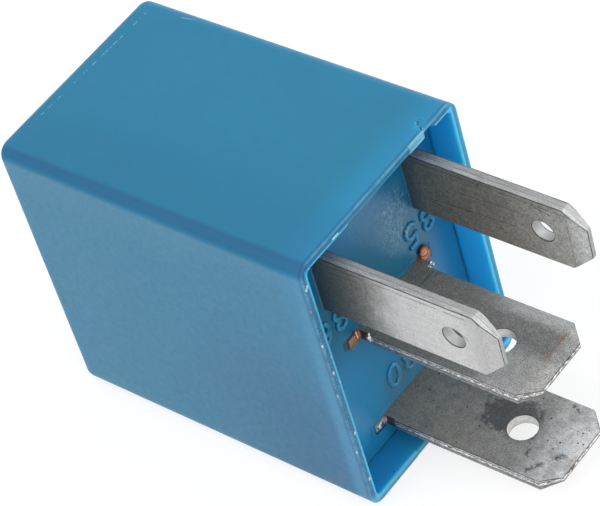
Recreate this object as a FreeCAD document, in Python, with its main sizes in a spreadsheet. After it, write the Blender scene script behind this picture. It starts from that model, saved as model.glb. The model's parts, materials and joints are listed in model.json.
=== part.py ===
import FreeCAD, Part
import math
import os
import re

import Sketcher

# Plug-in relay with four blades, lying on one long side.
# X runs from the closed end of the cap to the blade tips, Z is up.
# Lengths in x are counted from the closed end; PLACE moves the whole part
# so that its origin is the bottom centre of its box.

os.makedirs("parts", exist_ok=True)
doc = FreeCAD.newDocument("relay")
V = FreeCAD.Vector

# Driving sizes, in millimetres and degrees
SIZES = {
    # cap
    "blade_to_wall": 2.65,
    "cap_side_draft": 0.2,
    "cap_wall": 0.6,
    "cap_end_wall": 0.9,
    "cap_long_round": 1.0,
    "cap_end_round": 0.6,
    "cap_inner_round": 0.4,
    "rim_round": 0.1,
    # rim details
    "relief_width": 6.3,
    "relief_deep": 0.17,
    "relief_flat": 1.0,
    "relief_ramp": 1.7,
    "outer_relief_deep": 0.1,
    "outer_relief_long": 0.9,
    "notch_side": 4.65,
    "notch_roof": 0.7,
    "notch_slope": 0.6,
    "notch_depth": 0.85,
    "notch_skin": 0.12,
    "slit_wide": 0.3,
    "slit_lean": 0.36,
    "slit_mouth": 0.1,
    # base plate
    "recess_depth": 2.15,
    "base_thick": 2.1,
    "base_clear": 0.05,
    "lug_width": 6.0,
    "lug_high": 0.25,
    "lug_long": 1.0,
    "lug_clear": 0.05,
    # blades
    "blade_thick": 0.8,
    "load_width": 6.3,
    "load_reach": 12.95,
    "load_chamfer": 1.1,
    "load_hole_radius": 1.0,
    "load_hole_from_tip": 4.35,
    "load_30_rise": 1.87,
    "load_pitch": 7.97,
    "coil_width": 4.8,
    "coil_reach": 13.3,
    "coil_chamfer_long": 1.45,
    "coil_chamfer_wide": 1.25,
    "coil_hole_radius": 0.8,
    "coil_hole_from_tip": 3.2,
    "coil_blade_drop": 4.0,
    "coil_blade_side": 4.6,
    "tip_bevel_long": 1.05,
    "tip_bevel_deep": 0.23,
    "slot_gap": 0.22,
    "shoulder_reach": 0.95,
    "shoulder_extra": 0.4,
    "shoulder_step": 0.1,
    "shoulder_30_extra": 1.4,
    "stub_reach": 0.2,
    "stub_root": 1.1,
    "stub_near": 0.95,
    "stub_far": 1.35,
    "coil_tail_width": 1.6,
    "coil_tail_long": 2.6,
    "coil_shoulder": 0.6,
    "coil_shoulder_long": 0.75,
    # magnet
    "yoke_thick": 1.5,
    "yoke_width": 10.0,
    "yoke_end_above_core": 4.2,
    "core_radius": 2.2,
    "core_tail_radius": 1.8,
    "core_stake_radius": 2.1,
    "core_stake": 0.4,
    "stake_clear": 1.0,
    "pole_radius": 4.0,
    "pole_thick": 1.0,
    "bobbin_long": 10.8,
    "bobbin_flange": 0.8,
    "flange_proud": 0.38,
    "bobbin_gap": 0.08,
    "bobbin_tube_wall": 0.6,
    "bobbin_bore_gap": 0.05,
    "winding_radius": 5.1,
    "winding_gap": 0.03,
    "tape_thick": 0.15,
    "tape_gap": 0.02,
    "tape_margin": 0.45,
    # armature and contacts
    "armature_thick": 1.2,
    "armature_width": 9.0,
    "armature_over_pole": 0.17,
    "armature_corner": 0.75,
    "hinge_gap": 0.05,
    "open_angle": 2.5,
    "leaf_thick": 0.3,
    "leaf_width": 7.0,
    "leaf_arm_width": 4.4,
    "leaf_bend": 0.7,
    "leaf_window": 2.4,
    "leaf_past_rivet": 1.5,
    "leaf_past_contact": 1.67,
    "contact_radius": 1.5,
    "contact_head": 0.6,
    "contact_dome": 0.45,
    "contact_shank": 0.7,
    "contact_tail_radius": 0.95,
    "contact_tail": 0.3,
    "contact_tail_slope": 0.15,
    "contact_rest_gap": 0.02,
    "contact_clear": 0.05,
    "shelf_width": 5.0,
    "shelf_clear": 0.05,
    "riser_clear": 0.05,
    "stop_lift": 0.35,
    "stop_thick": 0.6,
    "stop_cover": 0.65,
    "stop_gap": 0.03,
    "stop_end_gap": 0.4,
    "stop_headroom": 0.6,
    "stop_root": 0.6,
    "stop_root_gap": 0.05,
    # rivets and leads
    "rivet_radius": 0.7,
    "rivet_gap": 0.03,
    "rivet_head_radius": 1.2,
    "rivet_head": 0.4,
    "inner_rivet_head": 0.3,
    "yoke_rivet_back": 4.7,
    "yoke_rivet_side": 2.1,
    "tail_30_past_rivet": 2.0,
    "tail_30_width": 7.6,
    "armature_rivet_rise": 1.2,
    "armature_rivet_side": 1.8,
    "lead_radius": 0.1,
    "lead_off_tail": 0.2,
    "lead_notch_width": 0.9,
    "lead_notch_deep": 1.2,
    "lead_run_drop": 0.7,
    "solder_radius": 0.75,
}

# Sizes and places that follow from them. Heights stack up from the low wall of the cap,
# lengths from its closed end; the cap is as long and high as what stands in it.
PLACES = {
    "cap_width": "2 * (coil_blade_side + blade_to_wall + cap_wall)",
    "bobbin_square": "2 * (winding_radius + tape_gap + tape_thick + flange_proud)",
    "load_30_height": "cap_wall + load_30_rise",
    "load_87_height": "load_30_height + load_pitch",
    "yoke_outer": "load_30_height + blade_thick / 2 + leaf_thick",
    "yoke_inner": "yoke_outer + yoke_thick",
    "core_height": "yoke_inner + bobbin_gap + bobbin_square / 2",
    "bobbin_top": "core_height + bobbin_square / 2",
    "contact_height": "bobbin_top + contact_clear + contact_radius",
    "riser_low": "contact_height + contact_tail_radius + riser_clear",
    "riser_top": "riser_low + blade_thick",
    "shelf_low": "bobbin_top + shelf_clear",
    "stop_low": "riser_top + stop_lift",
    "stop_top": "stop_low + stop_thick",
    "inner_top": "stop_top + stop_headroom",
    "cap_height": "inner_top + cap_wall",
    "coil_blade_height": "inner_top - coil_blade_drop",
    "armature_reach": "core_height + pole_radius + armature_over_pole - yoke_outer",
    "armature_rivet_reach": "core_height + armature_rivet_rise - yoke_outer",
    "contact_reach": "contact_height - yoke_outer",
    "leaf_arm": "contact_reach + leaf_past_contact",
    "stop_back": "cap_end_wall + stop_end_gap",
    "stop_plane": "stop_back + stop_thick",
    "open_swing": "(contact_reach + contact_tail_radius) * sin(open_angle)",
    "arm_stack": "(armature_thick + leaf_thick + contact_tail) * cos(open_angle)",
    "pole_plane": "stop_plane + stop_gap + arm_stack + open_swing",
    "contact_plane": "pole_plane - armature_thick + contact_head",
    "fixed_face": "contact_plane + contact_rest_gap",
    "shelf_face": "fixed_face + contact_head",
    "flange_1": "pole_plane + pole_thick",
    "yoke_foot": "flange_1 + bobbin_long",
    "flange_2": "yoke_foot - bobbin_flange",
    "yoke_end": "yoke_foot + yoke_thick",
    "bore_radius": "core_radius + bobbin_bore_gap",
    "tube_radius": "bore_radius + bobbin_tube_wall",
    "strip_back": "yoke_end + core_stake + stake_clear",
    "base_back": "strip_back + blade_thick",
    "base_face": "base_back + base_thick",
    "cap_length": "base_face + recess_depth",
    "inner_half": "cap_width / 2 - cap_wall",
    "lug_middle": "base_back + base_thick / 2",
    "shoulder_face": "base_face + shoulder_reach",
    "stub_face": "base_face + stub_reach",
    "load_tip": "base_face + load_reach",
    "coil_tip": "base_face + coil_reach",
    "coil_shoulder_back": "base_back - coil_shoulder_long",
    "coil_tail_end": "base_back - coil_tail_long",
    "yoke_rivet_place": "yoke_end - yoke_rivet_back",
    "tail_30_end": "yoke_rivet_place - tail_30_past_rivet",
    "leaf_end": "yoke_rivet_place + leaf_past_rivet",
    "lead_side": "coil_blade_side - blade_thick / 2 - lead_off_tail",
    "lead_run_height": "bobbin_top - lead_run_drop",
    "half_total": "max(load_tip; coil_tip) / 2",
}


def formula(text):
    """Turn 'cap_length - 1' into an expression on the sheet and the set of places."""
    def to_cell(found):
        word = found.group()
        if word in SIZES:
            return f"dims.{word}"
        return f"places.{word}" if word in PLACES else word
    return re.sub(r"[a-z][a-z_0-9]*", to_cell, text)


sheet = doc.addObject("Spreadsheet::Sheet", "dims")
for row, (alias, size) in enumerate(SIZES.items(), start=1):
    sheet.set(f"A{row}", alias)
    sheet.set(f"B{row}", str(size))
    sheet.setAlias(f"B{row}", alias)
doc.recompute()

places = doc.addObject("App::VarSet", "places")
for name, text in PLACES.items():
    places.addProperty("App::PropertyFloat", name, "Places")
    places.setExpression(name, formula(text))
doc.recompute()


def mm(name):
    """The number behind the name of a size or a place."""
    return float(sheet.get(name) if name in SIZES else getattr(places, name))


def bind(thing, path, text):
    thing.setExpression(path, formula(text))


def place(thing):
    """Put a piece, drawn from the closed end of the cap, in the part's frame."""
    bind(thing, "Placement.Base.x", "-half_total")


def new_body(label):
    body = doc.addObject("PartDesign::Body", label)
    place(body)
    return body


def new_sketch(body, name, role, offset="0"):
    """A sketch on one of the body's own planes, moved along its normal."""
    plane = next(f for f in body.Origin.OriginFeatures if f.Role == role)
    sketch = body.newObject("Sketcher::SketchObject", name)
    sketch.AttachmentSupport = [(plane, "")]
    sketch.MapMode = "FlatFace"
    bind(sketch, "AttachmentOffset.Base.z", offset)
    return sketch


def fix_point(sketch, item, corner, across, up):
    """Hold one point of a sketch at two formulas from its origin."""
    for kind, text in (("DistanceX", across), ("DistanceY", up)):
        rule = Sketcher.Constraint(kind, -1, 1, item, corner, 1.0)
        number = sketch.addConstraint(rule)
        bind(sketch, f"Constraints[{number}]", text)


def polygon(sketch, points):
    """Closed outline through points given as pairs of formulas."""
    first = sketch.GeometryCount
    count = len(points)
    start = [V(math.cos(2 * math.pi * i / count), math.sin(2 * math.pi * i / count), 0)
             for i in range(count)]
    for i in range(count):
        sketch.addGeometry(Part.LineSegment(start[i], start[(i + 1) % count]), False)
    for i in range(count):
        after = first + (i + 1) % count
        sketch.addConstraint(Sketcher.Constraint("Coincident", first + i, 2, after, 1))
    for i, (across, up) in enumerate(points):
        fix_point(sketch, first + i, 1, across, up)
    return sketch


def rectangle(sketch, left, bottom, right, top):
    return polygon(sketch, [(left, bottom), (right, bottom), (right, top), (left, top)])


def circle(sketch, across, up, radius):
    item = sketch.addGeometry(Part.Circle(V(1, 1, 0), V(0, 0, 1), 1), False)
    fix_point(sketch, item, 3, across, up)
    number = sketch.addConstraint(Sketcher.Constraint("Radius", item, 1.0))
    bind(sketch, f"Constraints[{number}]", radius)
    return sketch


def extrude(kind, body, sketch, length, sided="middle"):
    """Pad or pocket a sketch: 'middle' both ways, 'front' along its normal, 'back' against."""
    feature = body.newObject(f"PartDesign::{kind}", f"{sketch.Name}_{kind.lower()}")
    feature.Profile = sketch
    bind(feature, "Length", length)
    feature.SideType = "Symmetric" if sided == "middle" else "One side"
    # a pocket cuts against the normal by itself
    feature.Reversed = sided == ("back" if kind == "Pad" else "front")
    doc.recompute()
    return feature


def pad(body, sketch, length, sided="middle"):
    return extrude("Pad", body, sketch, length, sided)


def pocket(body, sketch, length, sided="middle"):
    before = body.Shape.Volume
    feature = extrude("Pocket", body, sketch, length, sided)
    if body.Shape.Volume > before - 1e-6:
        raise RuntimeError(f"{feature.Name} cuts nothing")
    return feature


def round_edges(body, name, radius, wanted):
    """Round the edges of the body's last shape for which wanted(edge) is true."""
    tip = body.Tip
    names = [f"Edge{i}" for i, edge in enumerate(tip.Shape.Edges, start=1) if wanted(edge)]
    feature = body.newObject("PartDesign::Fillet", name)
    feature.Base = (tip, names)
    bind(feature, "Radius", radius)
    doc.recompute()
    return feature


def spread(edge, axis):
    low = [edge.BoundBox.XMin, edge.BoundBox.YMin, edge.BoundBox.ZMin][axis]
    high = [edge.BoundBox.XMax, edge.BoundBox.YMax, edge.BoundBox.ZMax][axis]
    return low, high


def along_x(edge, least=1.0):
    """True for a straight edge that runs mainly along x."""
    low, high = spread(edge, 0)
    across = max(edge.BoundBox.YLength, edge.BoundBox.ZLength)
    return high - low > least and across < 0.1 * (high - low)


def at_x(edge, x):
    low, high = spread(edge, 0)
    return abs(low - x) < 1e-4 and abs(high - x) < 1e-4


def lathe(label, points, height):
    """A round piece on a line along x: pairs of (x, radius) formulas, turned about it."""
    body = new_body(label)
    bind(body, "Placement.Base.z", height)
    sketch = polygon(new_sketch(body, f"{label}_section", "XZ_Plane"), points)
    turned = body.newObject("PartDesign::Revolution", f"{label}_turned")
    turned.Profile = sketch
    turned.ReferenceAxis = (sketch, ["H_Axis"])
    turned.Angle = 360
    doc.recompute()
    return body


# Cap

def make_cap():
    cap = new_body("cap")

    def wedge(name, start, end, closed_half, rim_half, height):
        """Seen from above: a little wider at the rim than at the closed end."""
        sketch = new_sketch(cap, name, "XY_Plane", height)
        return polygon(sketch, [(start, f"-({closed_half})"), (end, f"-({rim_half})"),
                                (end, rim_half), (start, closed_half)])

    sketch = wedge("outside", "0", "cap_length", "cap_width / 2 - cap_side_draft",
                   "cap_width / 2", "0")
    pad(cap, sketch, "cap_height", "front")
    round_edges(cap, "long_rounds", "cap_long_round", along_x)
    round_edges(cap, "end_round", "cap_end_round", lambda edge: at_x(edge, 0))
    sketch = wedge("inside", "cap_end_wall", "cap_length", "inner_half - cap_side_draft",
                   "inner_half", "cap_wall")
    pocket(cap, sketch, "cap_height - 2 * cap_wall", "front")

    def inner_long(edge):
        low, high = spread(edge, 1)
        inside = max(abs(low), abs(high)) < mm("cap_width") / 2 - mm("cap_wall") / 2
        low, high = spread(edge, 2)
        return along_x(edge) and inside and low > 0.1 and high < mm("cap_height") - 0.1

    round_edges(cap, "inner_rounds", "cap_inner_round", inner_long)
    round_edges(cap, "rim_rounds", "rim_round", lambda edge: at_x(edge, mm("cap_length")))

    # snap recesses and the relief between them and the rim, low and high
    for name, wall, out in (("low", "cap_wall", "-"), ("high", "inner_top", "+")):
        sketch = new_sketch(cap, f"relief_{name}", "XZ_Plane")
        polygon(sketch, [("cap_length + 1", f"{wall} {out} relief_deep"),
                         ("cap_length - relief_flat", f"{wall} {out} relief_deep"),
                         ("cap_length - relief_flat - relief_ramp", wall),
                         ("cap_length + 1", wall)])
        pocket(cap, sketch, "relief_width")
        sketch = new_sketch(cap, f"snap_{name}", "XZ_Plane")
        polygon(sketch, [("lug_middle - lug_long / 2 - lug_clear", wall),
                         ("lug_middle + lug_long / 2 + lug_clear", wall),
                         ("lug_middle + lug_long / 2 + lug_clear",
                          f"{wall} {out} lug_high {out} lug_clear"),
                         ("lug_middle - lug_long / 2 - lug_clear",
                          f"{wall} {out} lug_high {out} lug_clear")])
        pocket(cap, sketch, "lug_width + 2 * lug_clear")

    # shallow step outside the low wall, at the rim
    sketch = new_sketch(cap, "outer_relief", "XZ_Plane")
    rectangle(sketch, "cap_length - outer_relief_long", "-1",
              "cap_length + 1", "outer_relief_deep")
    pocket(cap, sketch, "relief_width")

    # notch in the high wall at the rim: a groove from inside, and a slit through its skin
    roof = "cap_height - notch_skin"
    sketch = new_sketch(cap, "notch_groove", "YZ_Plane", "cap_length")
    polygon(sketch, [("notch_side", "inner_top - 0.1"),
                     ("notch_side + notch_roof + notch_slope", "inner_top - 0.1"),
                     ("notch_side + notch_roof", roof),
                     ("notch_side", roof)])
    pocket(cap, sketch, "notch_depth", "back")
    sketch = new_sketch(cap, "notch_slit", "XY_Plane", "cap_height + 1")
    polygon(sketch, [("cap_length - rim_round", "notch_side"),
                     ("cap_length - notch_depth", "notch_side + slit_lean"),
                     ("cap_length - notch_depth", "notch_side + slit_lean + slit_wide"),
                     ("cap_length - rim_round", "notch_side + slit_mouth")])
    pocket(cap, sketch, "1 + cap_wall", "back")
    return cap


# Base plate

def make_base_plate():
    base = new_body("base_plate")
    half = "(inner_half - cap_side_draft * recess_depth / cap_length - 2 * base_clear)"
    low = "(cap_wall + base_clear)"
    high = "(inner_top - base_clear)"
    sketch = new_sketch(base, "plate", "YZ_Plane", "base_back")
    rectangle(sketch, f"-{half}", low, half, high)
    pad(base, sketch, "base_thick", "front")
    round_edges(base, "plate_rounds", "cap_inner_round", along_x)
    for name, edge_in, edge_out in (("low_lug", f"{low} + 0.2", f"{low} - lug_high"),
                                    ("high_lug", f"{high} - 0.2", f"{high} + lug_high")):
        sketch = new_sketch(base, name, "XZ_Plane")
        polygon(sketch, [("lug_middle - lug_long / 2", edge_in),
                         ("lug_middle + lug_long / 2", edge_in),
                         ("lug_middle + lug_long / 2", edge_out),
                         ("lug_middle - lug_long / 4", edge_out)])
        pad(base, sketch, "lug_width")

    # slots for the load blades, as wide as their sheared stubs
    for name, height in (("slot_30", "load_30_height"), ("slot_87", "load_87_height")):
        sketch = new_sketch(base, name, "YZ_Plane", "base_face + 0.5")
        rectangle(sketch, "-load_width / 2 - stub_near - slot_gap",
                  f"{height} - blade_thick / 2 - slot_gap",
                  "load_width / 2 + stub_far + slot_gap",
                  f"{height} + blade_thick / 2 + slot_gap")
        pocket(base, sketch, "base_thick + 1", "back")
    for side, name in ((1, "slot_85"), (-1, "slot_86")):
        sketch = new_sketch(base, name, "YZ_Plane", "base_face + 0.5")
        rectangle(sketch, f"{side} * coil_blade_side - blade_thick / 2 - slot_gap / 2",
                  "coil_blade_height - coil_width / 2 - slot_gap / 2",
                  f"{side} * coil_blade_side + blade_thick / 2 + slot_gap / 2",
                  "coil_blade_height + coil_width / 2 + slot_gap / 2")
        pocket(base, sketch, "base_thick + 1", "back")
    # blind slot behind, where the back stop stands
    sketch = new_sketch(base, "stop_slot", "YZ_Plane", "base_back - 0.5")
    rectangle(sketch, "-shelf_width / 2 - stop_root_gap",
              "stop_low - stop_root_gap",
              "shelf_width / 2 + stop_root_gap",
              "stop_top + stop_root_gap")
    pocket(base, sketch, "0.5 + stop_root + stop_root_gap", "front")
    return base


# Blades

def bevel_tip(body, name, role, place_off, tip, middle, reach):
    """Thin the last stretch of a blade from both faces; role is the plane of its edge view."""
    for side, mark in (("a", "+"), ("b", "-")):
        sketch = new_sketch(body, f"{name}_{side}", role, place_off)
        face = f"{middle} {mark} blade_thick / 2"
        polygon(sketch, [(f"{tip} - tip_bevel_long", face),
                         (tip, f"{face} {'-' if mark == '+' else '+'} tip_bevel_deep"),
                         (f"{tip} + 1", f"{face} {'-' if mark == '+' else '+'} tip_bevel_deep"),
                         (f"{tip} + 1", f"{face} {mark} 1"),
                         (f"{tip} - tip_bevel_long", f"{face} {mark} 1")])
        pocket(body, sketch, reach)


def load_blade(body, height):
    """The outer blade of terminal 30 or 87, with its shoulder and its sheared stubs."""
    half = "load_width / 2"
    sketch = new_sketch(body, f"{body.Name}_blade", "XY_Plane", height)
    polygon(sketch, [("shoulder_face", f"-{half}"),
                     ("load_tip - load_chamfer", f"-{half}"),
                     ("load_tip", f"-{half} + load_chamfer"),
                     ("load_tip", f"{half} - load_chamfer"),
                     ("load_tip - load_chamfer", half),
                     ("shoulder_face", half),
                     ("shoulder_face", f"{half} + shoulder_extra"),
                     ("stub_face", f"{half} + shoulder_extra"),
                     ("stub_face", f"{half} + stub_far"),
                     ("stub_face - stub_root", f"{half} + stub_far"),
                     ("stub_face - stub_root", f"-{half} - stub_near"),
                     ("stub_face", f"-{half} - stub_near"),
                     ("stub_face", f"-{half} + shoulder_step"),
                     ("shoulder_face", f"-{half} + shoulder_step")])
    pad(body, sketch, "blade_thick")
    sketch = new_sketch(body, f"{body.Name}_hole", "XY_Plane", height)
    circle(sketch, "load_tip - load_hole_from_tip", "0", "load_hole_radius")
    pocket(body, sketch, "2 * blade_thick")
    bevel_tip(body, f"{body.Name}_bevel", "XZ_Plane", "0", "load_tip", height,
              "2 * load_width")


def strip(body, name, outline, wide):
    """Bent strip seen from the side, with its own width."""
    sketch = polygon(new_sketch(body, name, "XZ_Plane"), outline)
    pad(body, sketch, wide)


def make_terminal_30():
    body = new_body("terminal_30")
    load_blade(body, "load_30_height")
    sketch = new_sketch(body, "tail_30", "XY_Plane", "load_30_height")
    rectangle(sketch, "tail_30_end", "-tail_30_width / 2",
              "stub_face - stub_root / 2", "tail_30_width / 2")
    pad(body, sketch, "blade_thick")
    # shoulder that bears on the back of the base plate
    sketch = new_sketch(body, "shoulder_30", "XY_Plane", "load_30_height")
    rectangle(sketch, "coil_shoulder_back", "-tail_30_width / 2 - shoulder_30_extra",
              "base_back", "tail_30_width / 2 + shoulder_30_extra")
    pad(body, sketch, "blade_thick")
    rivet_holes(body, "holes_30", "load_30_height", "2 * blade_thick")
    return body


def rivet_holes(body, name, height, depth):
    for side, mark in (("near", "-"), ("far", "+")):
        sketch = new_sketch(body, f"{name}_{side}", "XY_Plane", height)
        circle(sketch, "yoke_rivet_place", f"{mark}yoke_rivet_side",
               "rivet_radius + rivet_gap")
        pocket(body, sketch, depth)


def make_terminal_87():
    """The blade, with the flat tail that carries the contact bracket."""
    body = new_body("terminal_87")
    load_blade(body, "load_87_height")
    sketch = new_sketch(body, "tail_87", "XY_Plane", "load_87_height")
    rectangle(sketch, "strip_back", "-shelf_width / 2",
              "stub_face - stub_root / 2", "shelf_width / 2")
    pad(body, sketch, "blade_thick")
    return body


def make_contact_bracket():
    """Strip welded on the tail of terminal 87; it leads over the coil to the fixed contact."""
    body = new_body("contact_bracket")
    foot = "load_87_height + blade_thick / 2"
    strip(body, "strip_87", [("strip_back", foot),
                             ("strip_back + blade_thick", foot),
                             ("strip_back + blade_thick", "riser_top"),
                             ("shelf_face", "riser_top"),
                             ("shelf_face", "shelf_low"),
                             ("shelf_face + blade_thick", "shelf_low"),
                             ("shelf_face + blade_thick", "riser_low"),
                             ("strip_back", "riser_low")],
          "shelf_width")
    sketch = new_sketch(body, "contact_hole", "YZ_Plane", "shelf_face + blade_thick / 2")
    circle(sketch, "0", "contact_height", "contact_shank + rivet_gap")
    pocket(body, sketch, "2 * blade_thick")
    return body


def make_coil_blade(label, side):
    """Terminal 85 or 86: a thinner blade on edge, with a tail for the coil lead."""
    body = new_body(label)
    middle = f"{side} * coil_blade_side"
    off = f"{-side} * coil_blade_side"
    low = "coil_blade_height - coil_width / 2"
    high = "coil_blade_height + coil_width / 2"
    tail_low = "coil_blade_height - coil_tail_width / 2"
    tail_high = "coil_blade_height + coil_tail_width / 2"
    sketch = new_sketch(body, f"{label}_blade", "XZ_Plane", off)
    polygon(sketch, [("coil_tail_end", tail_low),
                     ("coil_shoulder_back", tail_low),
                     ("coil_shoulder_back", f"{low} - coil_shoulder"),
                     ("base_back", f"{low} - coil_shoulder"),
                     ("base_back", low),
                     ("coil_tip - coil_chamfer_long", low),
                     ("coil_tip", f"{low} + coil_chamfer_wide"),
                     ("coil_tip", f"{high} - coil_chamfer_wide"),
                     ("coil_tip - coil_chamfer_long", high),
                     ("base_back", high),
                     ("base_back", f"{high} + coil_shoulder"),
                     ("coil_shoulder_back", f"{high} + coil_shoulder"),
                     ("coil_shoulder_back", tail_high),
                     ("coil_tail_end", tail_high)])
    pad(body, sketch, "blade_thick")
    sketch = new_sketch(body, f"{label}_hole", "XZ_Plane", off)
    circle(sketch, "coil_tip - coil_hole_from_tip", "coil_blade_height", "coil_hole_radius")
    pocket(body, sketch, "2 * blade_thick")
    bevel_tip(body, f"{label}_bevel", "XY_Plane", "coil_blade_height", "coil_tip", middle,
              "2 * coil_width")
    return body


# Magnet

def make_bobbin():
    body = new_body("bobbin")
    half = "bobbin_square / 2"
    for name, start in (("flange_pole", "flange_1"), ("flange_foot", "flange_2")):
        sketch = new_sketch(body, name, "YZ_Plane", start)
        rectangle(sketch, f"-{half}", f"core_height - {half}", half, f"core_height + {half}")
        pad(body, sketch, "bobbin_flange", "front")
        if name == "flange_pole":
            sketch = new_sketch(body, "bobbin_tube", "YZ_Plane", "flange_1")
            circle(sketch, "0", "core_height", "tube_radius")
            pad(body, sketch, "bobbin_long", "front")
    sketch = new_sketch(body, "bobbin_bore", "YZ_Plane", "flange_1 + bobbin_long / 2")
    circle(sketch, "0", "core_height", "bore_radius")
    pocket(body, sketch, "2 * bobbin_long")
    for side in (1, -1):
        sketch = new_sketch(body, f"lead_notch_{'far' if side > 0 else 'near'}", "YZ_Plane",
                            "flange_2 + bobbin_flange / 2")
        rectangle(sketch, f"{side} * lead_side - lead_notch_width / 2",
                  f"core_height + {half} - lead_notch_deep",
                  f"{side} * lead_side + lead_notch_width / 2",
                  f"core_height + {half} + 1")
        pocket(body, sketch, "2 * bobbin_flange")
    return body


def make_magnet():
    winding_start = "flange_1 + bobbin_flange + winding_gap"
    winding_end = "flange_2 - winding_gap"
    lathe("coil_winding", [(winding_start, "tube_radius + winding_gap"),
                           (winding_end, "tube_radius + winding_gap"),
                           (winding_end, "winding_radius"),
                           (winding_start, "winding_radius")], "core_height")
    tape_start = f"{winding_start} + tape_margin"
    tape_end = f"{winding_end} - tape_margin"
    lathe("coil_tape", [(tape_start, "winding_radius + tape_gap"),
                        (tape_end, "winding_radius + tape_gap"),
                        (tape_end, "winding_radius + tape_gap + tape_thick"),
                        (tape_start, "winding_radius + tape_gap + tape_thick")], "core_height")
    lathe("core", [("pole_plane", "0"), ("pole_plane", "pole_radius"),
                   ("flange_1", "pole_radius"), ("flange_1", "core_radius"),
                   ("yoke_foot", "core_radius"), ("yoke_foot", "core_tail_radius"),
                   ("yoke_end", "core_tail_radius"), ("yoke_end", "core_stake_radius"),
                   ("yoke_end + core_stake", "core_stake_radius - core_stake / 2"),
                   ("yoke_end + core_stake", "0")], "core_height")


def make_yoke():
    body = new_body("yoke")
    foot_top = "core_height + yoke_end_above_core"
    strip(body, "yoke_side", [("pole_plane", "yoke_outer"), ("yoke_end", "yoke_outer"),
                              ("yoke_end", foot_top), ("yoke_foot", foot_top),
                              ("yoke_foot", "yoke_inner"), ("pole_plane", "yoke_inner")],
          "yoke_width")
    sketch = new_sketch(body, "core_seat", "YZ_Plane", "yoke_foot + yoke_thick / 2")
    circle(sketch, "0", "core_height", "core_tail_radius + rivet_gap")
    pocket(body, sketch, "2 * yoke_thick")
    rivet_holes(body, "holes_yoke", "yoke_outer + yoke_thick / 2", "2 * yoke_thick")
    return body


# Armature and contacts. They are drawn closed, flat on the yoke and the pole, from the
# tipping edge, and stand open by turning about it.

def tip_open(body):
    bind(body, "Placement.Base.x", "pole_plane - half_total")
    bind(body, "Placement.Base.z", "yoke_outer")
    body.Placement.Rotation = FreeCAD.Rotation(V(0, 1, 0), 1)
    bind(body, "Placement.Rotation.Angle", "-open_angle")


def make_armature():
    body = new_body("armature")
    top = "-armature_thick"
    strip(body, "armature_plate", [("0", "hinge_gap"), ("0", "armature_reach"),
                                   (top, "armature_reach"), (top, "armature_corner"),
                                   (f"{top} + armature_corner", "hinge_gap")],
          "armature_width")
    for side, mark in (("near", "-"), ("far", "+")):
        sketch = new_sketch(body, f"armature_hole_{side}", "YZ_Plane")
        circle(sketch, f"{mark}armature_rivet_side", "armature_rivet_reach",
               "rivet_radius + rivet_gap")
        pocket(body, sketch, "4 * armature_thick")
    tip_open(body)
    return body


def make_armature_rivets():
    body = new_body("armature_rivets")
    body.AllowCompound = True
    leaf_top = "-armature_thick - leaf_thick"
    for name, radius, start, long in (
            ("shanks", "rivet_radius", leaf_top, "armature_thick + leaf_thick - contact_rest_gap"),
            ("heads", "rivet_head_radius", f"{leaf_top} - rivet_head", "rivet_head")):
        sketch = new_sketch(body, f"armature_rivet_{name}", "YZ_Plane", start)
        for mark in ("-", "+"):
            circle(sketch, f"{mark}armature_rivet_side", "armature_rivet_reach", radius)
        pad(body, sketch, long, "front")
    tip_open(body)
    return body


def make_moving_contact():
    top = "(-armature_thick)"
    leaf_top = f"({top} - leaf_thick)"
    body = lathe("moving_contact",
                 [(f"{leaf_top} - contact_tail", "0"),
                  (f"{leaf_top} - contact_tail", "contact_tail_radius - contact_tail_slope"),
                  (leaf_top, "contact_tail_radius"), (leaf_top, "contact_shank"),
                  (top, "contact_shank"), (top, "contact_radius"),
                  (f"{top} + contact_head / 2", "contact_radius"),
                  (f"{top} + contact_head", "contact_radius - contact_dome"),
                  (f"{top} + contact_head", "0")], "0")
    # its own line is raised from the tipping edge by the contact height
    tip_open(body)
    bind(body, "Placement.Base.x",
         "pole_plane - half_total - contact_reach * sin(open_angle)")
    bind(body, "Placement.Base.z", "yoke_outer + contact_reach * cos(open_angle)")
    return body


def make_fixed_contact():
    return lathe("fixed_contact",
                 [("fixed_face", "0"), ("fixed_face", "contact_radius - contact_dome"),
                  ("fixed_face + contact_head / 2", "contact_radius"),
                  ("shelf_face", "contact_radius"), ("shelf_face", "contact_shank"),
                  ("shelf_face + blade_thick", "contact_shank"),
                  ("shelf_face + blade_thick", "contact_tail_radius"),
                  ("shelf_face + blade_thick + contact_tail",
                   "contact_tail_radius - contact_tail_slope"),
                  ("shelf_face + blade_thick + contact_tail", "0")], "contact_height")


def make_back_stop():
    body = new_body("back_stop")
    strip(body, "stop_strip", [("stop_back", "contact_height - stop_cover"),
                               ("stop_plane", "contact_height - stop_cover"),
                               ("stop_plane", "stop_low"),
                               ("base_back + stop_root", "stop_low"),
                               ("base_back + stop_root", "stop_top"),
                               ("stop_back", "stop_top")],
          "shelf_width")
    return body


def make_yoke_rivets():
    body = new_body("yoke_rivets")
    body.AllowCompound = True
    outer = "(load_30_height - blade_thick / 2)"
    for name, radius, start, long in (
            ("outer_heads", "rivet_head_radius", f"{outer} - rivet_head", "rivet_head"),
            ("shanks", "rivet_radius", outer, f"yoke_inner - {outer}"),
            ("inner_heads", "rivet_head_radius", "yoke_inner", "inner_rivet_head")):
        sketch = new_sketch(body, f"yoke_rivet_{name}", "XY_Plane", start)
        for mark in ("-", "+"):
            circle(sketch, "yoke_rivet_place", f"{mark}yoke_rivet_side", radius)
        pad(body, sketch, long, "front")
    return body


def set_shape(label, shape):
    """A piece whose own shape is worked out here, drawn from the closed end."""
    piece = doc.addObject("Part::Feature", label)
    piece.Shape = shape
    place(piece)
    return piece


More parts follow.
